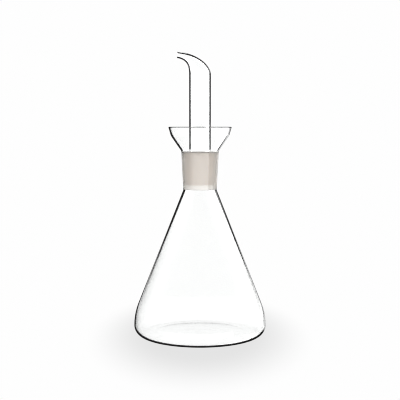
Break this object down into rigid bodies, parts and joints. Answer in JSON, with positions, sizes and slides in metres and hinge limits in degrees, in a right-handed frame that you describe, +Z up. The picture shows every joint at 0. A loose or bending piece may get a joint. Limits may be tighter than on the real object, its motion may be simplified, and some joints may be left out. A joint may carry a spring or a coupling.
{
  "type": "glass oil bottle",
  "caption": "Conical clear-glass oil bottle with a ground tapered neck, a funnel rim that catches drips, and a lift-out pourer whose tube bends over into a narrow beak.",
  "frame": {"origin": "centre of the base, on the surface that the bottle stands on", "axes": "+Z up along the flask's axis, the spout's beak points along -X, +Y to the back"},
  "size_m": [0.1158, 0.1158, 0.2474],
  "materials": {
    "clear_glass": "clear, fire-polished borosilicate",
    "ground_glass": "fine-ground, frosted borosilicate"
  },
  "bodies": {
    "flask": {"flask_body": "clear_glass", "neck_socket": "ground_glass", "drip_funnel": "clear_glass"},
    "stopper": {"stopper_cone": "ground_glass"},
    "spout": {"spout_tube": "clear_glass"}
  },
  "joints": [
    {"name": "pourer_lift", "type": "slide", "parent": "flask", "child": "stopper", "axis": [0, 0, 1], "range_m": [0, 0.06]},
    {"name": "pourer_turn", "type": "hinge", "parent": "stopper", "child": "spout", "pos_m": [0, 0, 0.1634], "axis": [0, 0, 1], "continuous": true}
  ]
}
